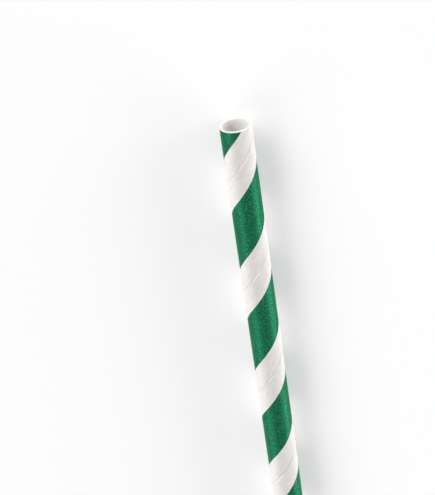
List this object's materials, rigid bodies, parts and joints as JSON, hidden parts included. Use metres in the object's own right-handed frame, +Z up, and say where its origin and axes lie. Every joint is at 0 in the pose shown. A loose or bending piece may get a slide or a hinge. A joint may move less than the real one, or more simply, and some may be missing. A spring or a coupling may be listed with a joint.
{
  "type": "paper drinking straw",
  "caption": "Straight drinking straw wound from paper strips, open at both square-cut ends, with a wide green and white spiral stripe.",
  "frame": {"origin": "under the middle of the lying straw, on the surface that it rests on", "axes": "+X along the straw towards the pictured mouth, +Z up"},
  "size_m": [0.197, 0.006, 0.006],
  "materials": {
    "wound_paper": "uncoated matte white paper, one half of the outer strip printed green as a right-handed spiral stripe"
  },
  "bodies": {
    "root": {"straw_tube": "wound_paper"}
  },
  "joints": []
}
